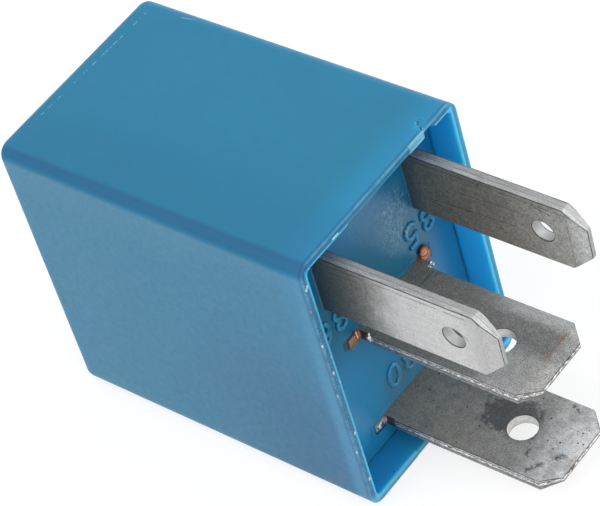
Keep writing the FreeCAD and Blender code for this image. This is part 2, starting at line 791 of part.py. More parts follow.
def make_contact_spring():
    """One leaf: a leg on the yoke, a bend round the armature's end, and the contact arm."""
    thick = mm("leaf_thick")
    bend = mm("leaf_bend")
    armature = mm("armature_thick")
    turn = FreeCAD.Rotation(V(0, 1, 0), -mm("open_angle"))
    edge = V(mm("pole_plane"), 0, mm("yoke_outer"))

    def tipped(x, z):
        return edge + turn.multVec(V(x, 0, z))

    # the bend joins a leg flat under the yoke to an arm flat on the tipped armature
    arm_way = turn.multVec(V(0, 0, 1))
    out = turn.multVec(V(-1, 0, 0))
    centre_point = edge + V((armature - bend - out.z * bend) / out.x, 0, bend)
    arm_start = centre_point + out * bend
    arm_end = arm_start + arm_way * (mm("leaf_arm") - bend)
    leg_start = V(centre_point.x, 0, centre_point.z - bend)
    leg_end = V(mm("leaf_end"), 0, leg_start.z)

    def bend_arc(radius):
        start = centre_point + V(0, 0, -radius)
        end = centre_point + out * radius
        half = (V(0, 0, -1) + out).normalize() * radius
        return Part.Arc(start, centre_point + half, end).toShape()

    down = V(0, 0, -1)
    outline = [Part.makeLine(leg_end, leg_start), bend_arc(bend),
               Part.makeLine(arm_start, arm_end),
               Part.makeLine(arm_end, arm_end + out * thick),
               Part.makeLine(arm_end + out * thick, arm_start + out * thick),
               bend_arc(bend + thick),
               Part.makeLine(leg_start + down * thick, leg_end + down * thick),
               Part.makeLine(leg_end + down * thick, leg_end)]
    wire = Part.Wire(Part.sortEdges(outline)[0])
    width = mm("leaf_width")
    leaf = Part.Face(wire).extrude(V(0, width, 0))
    leaf.translate(V(0, -width / 2, 0))

    # narrower arm past the armature
    narrow = mm("leaf_arm_width")
    start = mm("armature_reach")
    for side in (1, -1):
        trim = Part.makeBox(2 * armature, width, mm("leaf_arm"), V(-2 * armature, 0, start))
        trim.translate(V(0, narrow / 2 if side > 0 else -narrow / 2 - width, 0))
        trim.Placement = FreeCAD.Placement(edge, turn).multiply(trim.Placement)
        leaf = leaf.cut(trim)
    # window at the bend, which makes the hinge soft
    window = mm("leaf_window")
    hole = Part.makeBox(3 * bend, window, 3 * bend,
                        V(centre_point.x - 2 * bend, -window / 2, centre_point.z - 2 * bend))
    leaf = leaf.cut(hole)
    # holes for the rivets and the contact
    gap = mm("rivet_gap")
    past = 2 * mm("yoke_outer")
    for side in (1, -1):
        spot = V(mm("yoke_rivet_place"), side * mm("yoke_rivet_side"), 0)
        leaf = leaf.cut(Part.makeCylinder(mm("rivet_radius") + gap, past, spot, V(0, 0, 1)))
        spot = tipped(-2 * armature, mm("armature_rivet_reach"))
        spot.y = side * mm("armature_rivet_side")
        leaf = leaf.cut(Part.makeCylinder(mm("rivet_radius") + gap, past, spot, -out))
    spot = tipped(-2 * armature, mm("contact_reach"))
    leaf = leaf.cut(Part.makeCylinder(mm("contact_shank") + gap, past, spot, -out))
    return set_shape("contact_spring", leaf)


def solder_bead(side):
    """Bead on the inner face of a coil blade's tail, and its middle."""
    face = mm("coil_blade_side") - mm("blade_thick") / 2
    radius = mm("solder_radius")
    middle = V(mm("coil_tail_end") + mm("coil_tail_width") / 2,
               side * face, mm("coil_blade_height"))
    beyond = Part.makeBox(4 * radius, 2 * radius, 4 * radius)
    beyond.translate(V(middle.x - 2 * radius, face if side > 0 else -face - 2 * radius,
                       middle.z - 2 * radius))
    return Part.makeSphere(radius, middle).cut(beyond), middle


def make_solder(label, side):
    bead, middle = solder_bead(side)
    return set_shape(label, bead)


def make_lead(label, side):
    """Coil lead: up from the winding, along through the flange's notch, up to its bead."""
    radius = mm("lead_radius")
    across = side * mm("lead_side")
    start_x = mm("flange_2") - mm("winding_gap") - mm("tape_margin") / 2
    core = V(start_x - mm("tape_margin"), 0, mm("core_height"))
    bead, end = solder_bead(side)
    run = mm("lead_run_height")
    points = [V(start_x, across, core.z), V(start_x, across, run),
              V(end.x, across, run), V(end.x, across, end.z)]
    shape = None
    for a, b in zip(points, points[1:]):
        piece = Part.makeCylinder(radius, (b - a).Length, a, b - a)
        shape = piece if shape is None else shape.fuse(piece)
    for corner in points[1:-1]:
        shape = shape.fuse(Part.makeSphere(radius, corner))
    # it starts on the winding's face and ends on the bead's
    coil = Part.makeCylinder(mm("winding_radius"), 2 * mm("tape_margin"), core, V(1, 0, 0))
    shape = shape.removeSplitter().cut(coil).cut(bead)
    solids = sorted(shape.Solids, key=lambda solid: solid.Volume)
    return set_shape(label, solids[-1])


pieces = [
    make_cap(),
    make_base_plate(),
    make_terminal_30(),
    make_terminal_87(),
    make_contact_bracket(),
    make_coil_blade("terminal_85", 1),
    make_coil_blade("terminal_86", -1),
    make_bobbin(),
    make_yoke(),
    make_armature(),
    make_armature_rivets(),
    make_moving_contact(),
    make_fixed_contact(),
    make_back_stop(),
    make_yoke_rivets(),
    make_contact_spring(),
    make_lead("coil_lead_85", 1),
    make_lead("coil_lead_86", -1),
    make_solder("solder_joint_85", 1),
    make_solder("solder_joint_86", -1),
]
make_magnet()
pieces += [doc.getObject(name) for name in ("coil_winding", "coil_tape", "core")]
doc.recompute()

for thing in doc.Objects:
    if "Invalid" in thing.State or "Error" in thing.State:
        raise RuntimeError(f"{thing.Name} failed: {thing.State}")
for piece in pieces:
    if piece.Shape.isNull() or not piece.Shape.isValid():
        raise RuntimeError(f"{piece.Label} has no valid shape")
for piece in pieces:
    piece.Shape.exportStep(f"parts/{piece.Label}.step")
    box = piece.Shape.BoundBox
    print(f"{piece.Label}: {len(piece.Shape.Solids)} solid, {piece.Shape.Volume:.2f} mm3, "
          f"x {box.XMin:.2f} to {box.XMax:.2f}, y {box.YMin:.2f} to {box.YMax:.2f}, "
          f"z {box.ZMin:.2f} to {box.ZMax:.2f}")
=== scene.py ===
"""Looks of the starter relay: moulded blue cap and base, tinned blades with sheared edges."""

import json
import math

import bmesh
import bpy
from mathutils import Matrix, Vector, noise


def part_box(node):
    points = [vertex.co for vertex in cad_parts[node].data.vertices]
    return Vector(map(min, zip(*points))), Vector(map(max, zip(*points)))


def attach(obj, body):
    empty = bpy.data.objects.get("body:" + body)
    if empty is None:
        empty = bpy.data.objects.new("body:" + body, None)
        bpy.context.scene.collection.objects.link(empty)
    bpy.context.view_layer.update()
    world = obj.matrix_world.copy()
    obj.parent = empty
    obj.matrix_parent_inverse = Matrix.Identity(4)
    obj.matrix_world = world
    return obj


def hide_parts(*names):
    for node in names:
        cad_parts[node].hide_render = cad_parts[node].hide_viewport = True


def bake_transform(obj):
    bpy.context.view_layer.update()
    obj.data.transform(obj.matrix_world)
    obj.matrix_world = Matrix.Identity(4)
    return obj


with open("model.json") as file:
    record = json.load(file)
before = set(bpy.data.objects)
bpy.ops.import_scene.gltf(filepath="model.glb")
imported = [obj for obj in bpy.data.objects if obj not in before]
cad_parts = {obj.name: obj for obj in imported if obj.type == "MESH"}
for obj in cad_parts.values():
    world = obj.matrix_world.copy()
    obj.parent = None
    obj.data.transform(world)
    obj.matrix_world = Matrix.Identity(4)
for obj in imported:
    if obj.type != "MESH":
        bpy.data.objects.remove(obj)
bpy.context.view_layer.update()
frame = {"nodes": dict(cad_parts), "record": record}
nodes = frame["nodes"]
slot_of = {entry["node"]: entry["material_slot"] for entry in frame["record"]["subparts"]}

MM = 0.001

# Places on the part, in millimetres from the bottom centre of its box: x runs towards the
# blade tips, y towards blade 85 and z up. The limits of every mask below are in the same frame.
TOP = 21.55  # the cap's upper side
BLADE = 0.8  # thickness of each blade
COIL_BLADES_Y = 4.6  # middle of blade 85; blade 86 mirrors it
COIL_HOLE_X, COIL_HOLE_Z = 14.45, 16.95
LOAD_HOLE_X = 12.95
FACE_87, FACE_30 = 10.84, 2.87  # upper sides of the load blades


def rgb(red, green, blue):
    """Linear colour from sRGB values of 0 to 255."""
    def linear(value):
        value /= 255
        return value / 12.92 if value <= 0.04045 else ((value + 0.055) / 1.055) ** 2.4
    return (linear(red), linear(green), linear(blue), 1.0)


# Node kit

class Tree:
    """Makes and links the nodes of one node tree. Masks run from 0 to 1."""

    def __init__(self, tree):
        self.tree = tree
        self.tree.nodes.clear()

    def node(self, kind, **settings):
        made = self.tree.nodes.new(kind)
        for key, value in settings.items():
            setattr(made, key, value)
        return made

    def feed(self, socket, value):
        """Links the value to the socket, or sets it there if it is a constant."""
        if isinstance(value, bpy.types.NodeSocket):
            self.tree.links.new(value, socket)
        else:
            socket.default_value = value

    def math(self, operation, first, second=0.0, clamp=False):
        made = self.node("ShaderNodeMath", operation=operation, use_clamp=clamp)
        self.feed(made.inputs[0], first)
        self.feed(made.inputs[1], second)
        return made.outputs[0]

    def times(self, first, second):
        return self.math("MULTIPLY", first, second)

    def most(self, *values):
        found = values[0]
        for value in values[1:]:
            found = self.math("MAXIMUM", found, value)
        return found

    def flip(self, value):
        return self.math("SUBTRACT", 1.0, value)

    def smooth(self, value, start, end, low=0.0, high=1.0):
        made = self.node("ShaderNodeMapRange", interpolation_type="SMOOTHSTEP")
        for name, given in (("Value", value), ("From Min", start), ("From Max", end),
                            ("To Min", low), ("To Max", high)):
            self.feed(made.inputs[name], given)
        return made.outputs[0]

    def between(self, value, low, high, soft):
        return self.times(self.smooth(value, low - soft, low + soft),
                          self.smooth(value, high + soft, high - soft))

    def level(self, share, first, second):
        """A number that goes from first to second with the share."""
        made = self.node("ShaderNodeMix", data_type="FLOAT")
        self.feed(made.inputs[0], share)
        self.feed(made.inputs[2], first)
        self.feed(made.inputs[3], second)
        return made.outputs[0]

    def background_rays(self):
        """1 for the rays that show the background: straight on, in a mirror or through glass."""
        path = self.node("ShaderNodeLightPath")
        return self.most(*(path.outputs[f"Is {kind} Ray"]
                           for kind in ("Camera", "Glossy", "Transmission")))


class Surface(Tree):
    """One node material. Its coordinates are the part's own, in millimetres."""

    def __init__(self, name, metallic=0.0):
        self.material = bpy.data.materials.new(name)
        self.material.use_nodes = True
        super().__init__(self.material.node_tree)
        out = self.node("ShaderNodeOutputMaterial")
        self.shader = self.node("ShaderNodeBsdfPrincipled")
        self.feed(out.inputs[0], self.shader.outputs[0])
        self.set("Metallic", metallic)
        self.set("IOR", 1.5)
        coords = self.node("ShaderNodeTexCoord")
        self.mm = self.vector("SCALE", coords.outputs["Object"], scale=1 / MM)
        self.x, self.y, self.z = self.split(self.mm)
        self.facing = self.split(coords.outputs["Normal"])

    def set(self, name, value):
        self.feed(self.shader.inputs[name], value)

    def split(self, vector):
        made = self.node("ShaderNodeSeparateXYZ")
        self.feed(made.inputs[0], vector)
        return made.outputs

    def vector(self, operation, first, second=None, scale=None):
        made = self.node("ShaderNodeVectorMath", operation=operation)
        self.feed(made.inputs[0], first)
        if second is not None:
            self.feed(made.inputs[1], second)
        if scale is not None:
            self.feed(made.inputs["Scale"], scale)
        gives_number = operation in ("DOT_PRODUCT", "DISTANCE", "LENGTH")
        return made.outputs["Value" if gives_number else "Vector"]

    def stretched(self, stretch, shift):
        made = self.node("ShaderNodeMapping")
        self.feed(made.inputs["Vector"], self.mm)
        made.inputs["Scale"].default_value = stretch
        made.inputs["Location"].default_value = shift
        return made.outputs[0]

    def noise(self, scale, detail=3.0, rough=0.55, stretch=(1, 1, 1), shift=(0, 0, 0), twist=0.0):
        made = self.node("ShaderNodeTexNoise")
        self.feed(made.inputs["Vector"], self.stretched(stretch, shift))
        for name, given in (("Scale", scale), ("Detail", detail), ("Roughness", rough),
                            ("Distortion", twist)):
            made.inputs[name].default_value = given
        return made.outputs["Fac"]

    def cells(self, scale, stretch=(1, 1, 1), shift=(0, 0, 0)):
        """Distance to the nearest of many scattered points."""
        made = self.node("ShaderNodeTexVoronoi")
        self.feed(made.inputs["Vector"], self.stretched(stretch, shift))
        made.inputs["Scale"].default_value = scale
        return made.outputs["Distance"]

    def blend(self, share, first, second):
        """A colour that goes from first to second with the share."""
        made = self.node("ShaderNodeMix", data_type="RGBA")
        self.feed(made.inputs[0], share)
        self.feed(made.inputs[6], first)
        self.feed(made.inputs[7], second)
        return made.outputs[2]

    def over(self, colour, new, mask, share=None):
        """The colour with a new one laid over it where the mask is 1, as far as the share."""
        if share is not None:
            mask = self.times(mask, share)
        return self.blend(mask, colour, new)

    def shade(self, colour, value):
        """The colour times a number."""
        return self.vector("SCALE", colour, scale=value)

    def spot(self, centre, radius, soft=0.6):
        """1 inside a ball about the centre, which may be flattened by a radius per axis."""
        radii = radius if isinstance(radius, tuple) else (radius,) * 3
        away = self.vector("DIVIDE", self.vector("SUBTRACT", self.mm, centre), radii)
        return self.smooth(self.vector("LENGTH", away), 1.0, 1.0 - soft)

    def stroke(self, start, end, width, soft=0.6):
        """1 within the width of the line from start to end."""
        way = Vector(end) - Vector(start)
        away = self.vector("SUBTRACT", self.mm, start)
        along = self.vector("DOT_PRODUCT", away, way / way.length_squared)
        share = self.math("MULTIPLY", along, 1.0, clamp=True)
        reached = self.vector("SCALE", way, scale=share)
        return self.smooth(self.vector("DISTANCE", away, reached), width, width * (1.0 - soft))

    def bump(self, height, strength, distance):
        made = self.node("ShaderNodeBump")
        made.inputs["Strength"].default_value = strength
        made.inputs["Distance"].default_value = distance
        self.feed(made.inputs["Height"], height)
        self.set("Normal", made.outputs[0])

    def scatter_light(self, weight, radius, scale):
        """Light that enters the plastic and comes out again near by."""
        self.set("Subsurface Weight", weight)
        self.set("Subsurface Radius", radius)
        self.set("Subsurface Scale", scale)


# Blue mouldings

def cap_rim(s, colour, inside, brink, face):
    """The thin rim and its inside are painted lighter and more cyan than the thick walls, as
    light shining through thin plastic; the lowest wall inside is painted a deeper blue, the outer
    brink gets painted shade that dims its highlight, and the rim's face a painted highlight.
    """
    # painted light: the inside and the thin rim lighter and more cyan, as light that comes
    # through the thin plastic
    colour = s.over(colour, rgb(54, 184, 240), inside, s.smooth(s.x, 3.8, 6.4, 0.7, 1.0))
    colour = s.over(colour, rgb(28, 150, 200), s.smooth(s.x, 3.5, 6.2, 0.0, 0.2))
    # painted shade on the outer brink, which dims its highlight
    colour = s.over(colour, rgb(4, 82, 120), brink, 0.86)
    # the lowest wall inside is painted a deeper blue
    low_wall = s.times(inside, s.smooth(s.z, 1.4, 0.9))
    colour = s.over(colour, rgb(10, 112, 186), low_wall, 0.45)
    # its face gets a painted highlight, strongest on the far wall and plainer towards the near
    # one
    pale = s.most(s.smooth(s.y, 6.6, 7.2, 0.0, 0.2), s.smooth(s.z, 1.2, 0.6, 0.0, 0.45),
                  s.smooth(s.z, 20.5, 20.9, 0.0, 0.06))
    colour = s.over(colour, rgb(124, 206, 236), face, pale)
    # pale lines follow its edges, in patches
    ring = s.most(s.smooth(s.math("ABSOLUTE", s.y), 7.68, 7.76), s.smooth(s.z, 21.42, 21.48),
                  s.smooth(s.z, 0.14, 0.06))
    worn = s.smooth(s.noise(1.1, 3, 0.6), 0.36, 0.6)
    return s.over(colour, rgb(176, 226, 242), s.times(face, ring), s.times(worn, 0.14))


def cap_notch(s, colour, face):
    """Thin skin, a painted shadow, and a painted highlight on the cut faces at the notch in the
    rim.
    """
    skin = s.times(s.between(s.y, 4.98, 5.42, 0.1),
                   s.times(s.smooth(s.x, 5.6, 5.8), s.smooth(s.z, 21.2, 21.35)))
    colour = s.over(colour, rgb(16, 100, 160), skin, 0.5)
    high = s.smooth(s.z, 21.3, 21.42)
    # painted shadow in the sunk part beside the slit
    wedge = s.times(high, s.stroke((5.78, 5.34, TOP), (6.36, 4.98, TOP), 0.17, 0.5))
    colour = s.over(colour, rgb(6, 84, 140), wedge, 0.5)
    # painted highlight on the cut faces of the notch and on the rim's face beside it
    white = s.most(
        s.times(high, s.stroke((5.68, 5.06, TOP), (6.34, 4.78, TOP), 0.09, 0.5)),
        s.times(face, s.times(s.between(s.y, 3.2, 4.72, 0.06), s.smooth(s.z, 20.5, 20.7))))
    return s.over(colour, rgb(150, 206, 230), white, 0.4)


def cap_walls(s, colour, eave):
    """Slow unevenness of the resin, the dulled near side, and painted shade: on the near side's
    lower front, on the top towards its near edge, and on the edge above the near side.
    """
    slow = s.noise(0.18, 2, 0.5)
    colour = s.over(colour, rgb(4, 104, 148), s.smooth(slow, 0.35, 0.7, 0.0, 0.14))
    # the near side is dulled by a fine slanting grain, most of all along its borders
    near = s.times(s.smooth(s.y, -7.0, -7.3), s.smooth(s.z, 20.9, 20.5))
    grain = s.noise(1.0, 3, 0.6, stretch=(7.0, 7.0, 2.6))
    dull = s.smooth(grain, 0.35, 0.75, 0.0, 0.11)
    borders = s.most(s.smooth(s.z, 17.0, 20.2, 0.0, 0.07), s.smooth(s.x, 5.2, 5.9, 0.0, 0.13),
                     s.smooth(s.z, 2.5, 0.5, 0.0, 0.08))
    colour = s.over(colour, rgb(120, 158, 182), near, s.math("ADD", dull, borders))
    # painted shade deepens it towards its lower front
    tone = s.times(s.times(near, s.smooth(s.z, 18.0, 6.0)),
                   s.times(s.smooth(s.x, -9.0, 3.0), s.smooth(s.x, 5.6, 5.0)))
    colour = s.over(colour, rgb(10, 90, 134), tone, 0.6)
    # painted shade darkens the top towards its near edge, and the edge itself more still
    top_shade = s.times(s.smooth(s.z, 21.2, 21.4), s.smooth(s.y, 0.0, -6.0, 0.0, 0.22))
    colour = s.over(colour, rgb(0, 84, 124), top_shade)
    # painted shade on the rounded edge above the near side
    return s.over(colour, rgb(0, 74, 120), eave, 0.55)


def cap_specks(s, colour):
    """The scuffs and specks seen on this piece. The pale ones are returned for the bump too."""
    dashes = s.smooth(s.noise(1.4, 2, 0.6, stretch=(0.4, 3.0, 0.4)), 0.46, 0.6)
    scuff = s.times(s.stroke((-16.75, -5.2, TOP), (-16.4, 6.2, TOP), 0.06), dashes)
    light = s.most(
        s.times(scuff, 0.3),
        s.times(s.stroke((-13.9, 6.7, TOP), (-12.9, 6.9, 21.5), 0.05), 0.25),
        s.times(s.stroke((-12.9, -7.75, 18.9), (-12.3, -7.75, 18.2), 0.05), 0.35),
        s.times(s.spot((2.34, -7.72, 17.4), 0.10), 0.8),
        s.times(s.stroke((6.2, 7.05, 16.9), (6.35, 7.05, 16.2), 0.05), 0.9),
        s.times(s.stroke((6.49, -4.6, 21.2), (6.52, -4.1, 21.2), 0.08), 0.9))
    colour = s.over(colour, rgb(206, 226, 234), light)
    dark = s.most(s.spot((3.88, -7.72, 5.8), 0.10), s.spot((-12.68, -7.75, 15.6), 0.10),
                  s.spot((6.2, -5.2, 0.5), (0.10, 0.12, 0.3)))
    return s.over(colour, rgb(14, 52, 80), dark, 0.75), light


def cap_flakes(s, colour):
    """Pale and rusty flakes where handling has rubbed the rim's near upright."""
    edge = s.times(s.smooth(s.x, 6.34, 6.46), s.smooth(s.y, -6.2, -7.0))
    flakes = s.smooth(s.cells(1.9, stretch=(1, 1, 0.6), shift=(2, 7, 3)), 0.2, 0.12)
    colour = s.over(colour, rgb(214, 222, 222), s.times(edge, flakes), 0.7)
    flecks = s.smooth(s.cells(6.0, stretch=(1, 1, 0.7), shift=(4, 3, 6)), 0.3, 0.2)
    flecks = s.times(s.times(edge, flecks), s.smooth(s.noise(0.7, 2), 0.42, 0.6))
    colour = s.over(colour, rgb(176, 212, 226), flecks, 0.3)
    rust = s.smooth(s.cells(1.3, shift=(5, 1, 8)), 0.13, 0.08)
    return s.over(colour, rgb(176, 132, 96), s.times(edge, rust), 0.8)


def cap_surface():
    s = Surface("cap_blue")
    inside = s.times(s.smooth(s.x, 4.2, 4.5),
                     s.times(s.times(s.smooth(s.y, -7.5, -7.4), s.smooth(s.y, 7.5, 7.4)),
                             s.times(s.smooth(s.z, 0.3, 0.4), s.smooth(s.z, 21.2, 21.1))))
    brink = s.times(s.smooth(s.x, 6.1, 6.4), s.flip(inside))
    face = s.smooth(s.x, 6.3, 6.44)
    eave = s.times(s.smooth(s.y, -6.9, -7.25), s.smooth(s.z, 20.6, 21.15))
    colour = cap_rim(s, rgb(12, 120, 156), inside, brink, face)
    colour = cap_notch(s, colour, face)
    colour = cap_walls(s, colour, eave)
    colour, light = cap_specks(s, colour)
    colour = cap_flakes(s, colour)
    s.set("Base Color", colour)
    rough = s.smooth(s.noise(2.2, 3, 0.6), 0.3, 0.7, 0.36, 0.46)
    s.set("Roughness", s.level(s.most(brink, eave), rough, 0.64))
    s.scatter_light(0.75, (0.16, 1.15, 1.35), 0.0015)
    s.bump(s.math("ADD", s.noise(9.0, 3, 0.6), s.times(light, 0.6)), 0.14, 0.00005)
    return s


def base_surface():
    s = Surface("base_blue")
    colour = s.blend(s.smooth(s.noise(0.35, 2, 0.5), 0.35, 0.7, 0.0, 0.25),
                     rgb(10, 103, 138), rgb(6, 92, 126))
    # painted light and shade change its tone over the face: lighter low down, bluer towards blade
    # 85 and near the top, with a painted highlight on what stands out of the face, the numbers
    # and the resin, and a painted pool of light near the top
    colour = s.over(colour, rgb(32, 128, 174), s.smooth(s.z, 12.0, 7.5))
    colour = s.over(colour, rgb(12, 112, 168), s.smooth(s.y, 3.6, 6.4, 0.0, 0.7))
    colour = s.over(colour, rgb(34, 152, 204), s.smooth(s.x, 4.40, 4.50, 0.0, 0.4))
    colour = s.over(colour, rgb(4, 112, 170), s.smooth(s.z, 15.0, 17.5, 0.0, 0.4))
    lit = s.spot((4.4, 0.9, 18.7), (0.6, 1.3, 0.8), 1.0)
    colour = s.over(colour, rgb(70, 160, 204), lit, 0.4)
    shaded = s.times(s.between(s.z, 3.2, 5.2, 0.4), s.smooth(s.y, -3.2, -1.2))
    colour = s.over(colour, rgb(92, 116, 122), shaded, 0.35)
    # painted shade in the hollows round the stubs of blade 87
    for hollow_shade in (s.spot((4.35, 3.95, 11.05), (0.3, 0.66, 0.6), 0.35),
                   s.spot((4.35, -4.25, 10.5), (0.3, 0.3, 0.6), 0.5)):
        colour = s.over(colour, rgb(4, 52, 78), hollow_shade, 0.8)
    # resin streaks between the coil blades, with a painted glint on them and darker between them
    field = s.times(s.between(s.z, 13.0, 17.2, 1.0), s.between(s.y, 1.2, 3.7, 0.8))
    streaks = s.smooth(s.noise(1.0, 4, 0.75, stretch=(1, 8.5, 4.2), twist=0.8), 0.48, 0.58)
    glint = s.times(field, streaks)
    colour = s.over(colour, rgb(140, 190, 208), glint, 0.5)
    colour = s.over(colour, rgb(6, 74, 110), field, s.times(s.flip(streaks), 0.3))
    s.set("Base Color", colour)
    rough = s.smooth(s.noise(1.6, 3, 0.6), 0.3, 0.7, 0.28, 0.36)
    s.set("Roughness", s.level(glint, rough, 0.2))
    s.scatter_light(0.5, (0.12, 0.75, 1.0), 0.0009)
    s.bump(s.math("ADD", s.noise(5.0, 3, 0.6), s.times(glint, 1.2)), 0.2, 0.00006)
    return s


# Blades. A marks function lists what is seen on one blade: colour, share and mask.

BLADE_METAL = 0.62  # below 1, because dull tin scatters part of the light


def blade_body(s, colour, marks, calm):
    """The blade's colour with its marks, grit, blotches, hair lines and dark pits."""
    for new, share, mask in marks(s):
        colour = s.over(colour, new, mask, share)
    grit = s.noise(12.0, 3, 0.75)
    blotch = s.noise(2.2, 4, 0.65)
    strong = s.smooth(grit, 0.38, 0.62, 0.6, 1.27)
    colour = s.shade(colour, s.level(calm, strong, s.smooth(grit, 0.38, 0.62, 0.88, 1.07)))
    strong = s.smooth(blotch, 0.34, 0.68, 0.84, 1.1)
    colour = s.shade(colour, s.level(calm, strong, s.smooth(blotch, 0.34, 0.68, 0.94, 1.05)))
    winding = s.noise(0.9, 2, 0.5, shift=(6, 1, 9), twist=1.6)
    hairs = s.smooth(s.math("ABSOLUTE", s.math("SUBTRACT", winding, 0.5)), 0.011, 0.003)
    hairs = s.times(hairs, s.smooth(blotch, 0.5, 0.56))
    colour = s.over(colour, rgb(60, 60, 59), hairs, 0.45)
    pits = s.times(s.smooth(s.cells(2.3, shift=(1, 4, 2)), 0.12, 0.07),
                   s.smooth(s.noise(0.9, 2, 0.5, shift=(3, 3, 3)), 0.42, 0.56))
    return s.over(colour, rgb(40, 40, 39), pits, 0.75), grit, blotch


def coil_edge(s, side, grit, torn):
    """Sheared long edge of a blade on edge: a burnished band beside a rough dark one, with
    painted light on the wall of its hole.
    """
    across = s.math("SUBTRACT", s.y, side)
    wander = s.times(s.noise(1.3, 2), 0.12)
    strayed = s.math("ADD", across, wander)
    edge = s.blend(s.smooth(strayed, -0.02, 0.04), rgb(182, 183, 183), rgb(168, 169, 169))
    edge = s.over(edge, rgb(92, 92, 90), s.between(strayed, 0.0, 0.08, 0.03), 0.35)
    edge = s.over(edge, rgb(106, 107, 107), torn, 0.42)
    edge = s.shade(edge, s.smooth(grit, 0.36, 0.64, 0.72, 1.16))
    edge = s.over(edge, rgb(108, 107, 104), s.smooth(s.x, 9.0, 5.0, 0.0, 0.45))
    edge = s.over(edge, rgb(224, 226, 227), s.smooth(s.x, 11.0, 16.0, 0.0, 0.15))
    # painted light on the wall of the hole
    lit_bore = s.spot((COIL_HOLE_X, side, COIL_HOLE_Z), 1.15, 0.15)
    edge = s.over(edge, rgb(186, 187, 188), lit_bore, 0.85)
    lips = s.smooth(s.math("ADD", s.math("ABSOLUTE", across), wander), 0.36, 0.40)
    return s.over(edge, rgb(56, 56, 55), lips, 0.6)


def coil_blade_surface(name, side, root, tip, reach, marks, calm):
    """A blade on edge: side is its place across the part, root and tip its two greys."""
    s = Surface(name, metallic=BLADE_METAL)
    turn = s.math("ADD", s.x, s.times(s.noise(0.5, 3, 0.6), 3.0))
    ripple = s.noise(1.7, 4, 0.7, stretch=(1.0, 1.0, 0.5), shift=(4, 0, 2), twist=0.8)
    turn = s.math("ADD", turn, s.times(ripple, 2.4))
    along = s.smooth(turn, *reach)
    colour = s.blend(along, root, tip)
    drawn = s.noise(1.0, 4, 0.62, stretch=(0.22, 1.0, 5.5))
    colour = s.over(colour, rgb(84, 84, 83), s.smooth(drawn, 0.5, 0.72, 0.0, 0.13))
    colour, grit, blotch = blade_body(s, colour, marks, s.times(along, calm))
    sheared = s.smooth(s.math("ABSOLUTE", s.facing[1]), 0.86, 0.5)
    torn = s.smooth(s.noise(1.0, 4, 0.7, stretch=(0.7, 10.0, 3.0)), 0.42, 0.62)
    colour = s.over(colour, coil_edge(s, side, grit, torn), sheared)
    # painted shade on the rounded strips along the edges, which dims their highlight
    rolled_shade = s.between(s.math("ABSOLUTE", s.facing[1]), 0.3, 0.94, 0.05)
    colour = s.over(colour, rgb(44, 44, 43), rolled_shade, s.smooth(blotch, 0.3, 0.5, 0.5, 0.95))
    brim = s.between(s.z, 18.93, 19.05, 0.04)
    brim = s.times(brim, s.smooth(s.noise(1.0, 3, 0.6, stretch=(0.6, 1, 3)), 0.4, 0.56))
    colour = s.over(colour, rgb(66, 66, 65), brim, s.times(s.flip(sheared), 0.55))
    # bluer towards the root, where it meets the base
    colour = s.over(colour, rgb(18, 78, 110), s.smooth(s.x, 5.7, 4.5, 0.0, 0.45))
    s.set("Base Color", colour)
    s.set("Roughness", s.level(sheared, s.smooth(grit, 0.3, 0.7, 0.3, 0.5), 0.48))
    lines = s.math("ADD", s.times(grit, 0.8), s.times(torn, s.times(sheared, 0.8)))
    s.bump(lines, 0.4, 0.00005)
    return s


def marks_85(s):
    y = 4.2  # the blade's near side
    return [
        (rgb(66, 67, 66), 0.45, s.stroke((6.0, y, 16.1), (12.5, y, 16.5), 0.06)),
        (rgb(70, 71, 70), 0.4, s.stroke((8.6, y, 17.6), (13.0, y, 17.9), 0.05)),
        (rgb(186, 187, 187), 0.5, s.stroke((8.3, y, 18.4), (8.5, y, 17.2), 0.05)),
        (rgb(216, 218, 218), 0.6, s.smooth(s.x, 16.35, 16.7)),
        (rgb(64, 65, 64), 0.35, s.stroke((16.4, y, 14.8), (16.4, y, 19.1), 0.07, 1.0)),
        (rgb(60, 60, 59), 0.5, s.stroke((14.0, y, 18.9), (15.3, y, 18.6), 0.07)),
    ]


def marks_86(s):
    y = -5.0  # the blade's near side
    wrinkle = s.noise(1.6, 3, 0.6, stretch=(1.3, 1.0, 0.8), shift=(7, 2, 4), twist=1.2)
    crease_shade = s.smooth(s.math("ABSOLUTE", s.math("SUBTRACT", wrinkle, 0.5)), 0.016, 0.004)
    zone = s.between(s.x, 6.6, 9.4, 0.6)
    lit = s.smooth(s.math("SUBTRACT", wrinkle, 0.515), 0.0, 0.03)
    lit = s.times(lit, s.smooth(wrinkle, 0.57, 0.545))
    dust = s.smooth(s.cells(3.4, shift=(9, 4, 1)), 0.2, 0.12)
    return [
        # painted shade in the creases of the wrinkles, and a painted highlight beside them
        (rgb(58, 59, 58), 0.5, s.times(crease_shade, zone)),
        (rgb(208, 209, 209), 0.3, s.times(lit, zone)),
        (rgb(92, 92, 91), 0.6, s.times(dust, s.smooth(s.noise(1.1, 2), 0.46, 0.6))),
        (rgb(84, 85, 84), 0.5, s.stroke((5.6, y, 18.4), (7.8, y, 18.5), 0.06)),
        (rgb(92, 93, 92), 0.5, s.stroke((8.2, y, 17.2), (8.5, y, 18.6), 0.05)),
        (rgb(70, 70, 69), 0.6, s.stroke((15.0, y, 17.6), (15.5, y, 17.2), 0.06)),
        (rgb(150, 151, 151), 0.3, s.stroke((16.5, y, 14.8), (16.5, y, 19.2), 0.08, 1.0)),
        (rgb(168, 169, 170), 0.5, s.smooth(s.x, 14.6, 16.6)),
    ]


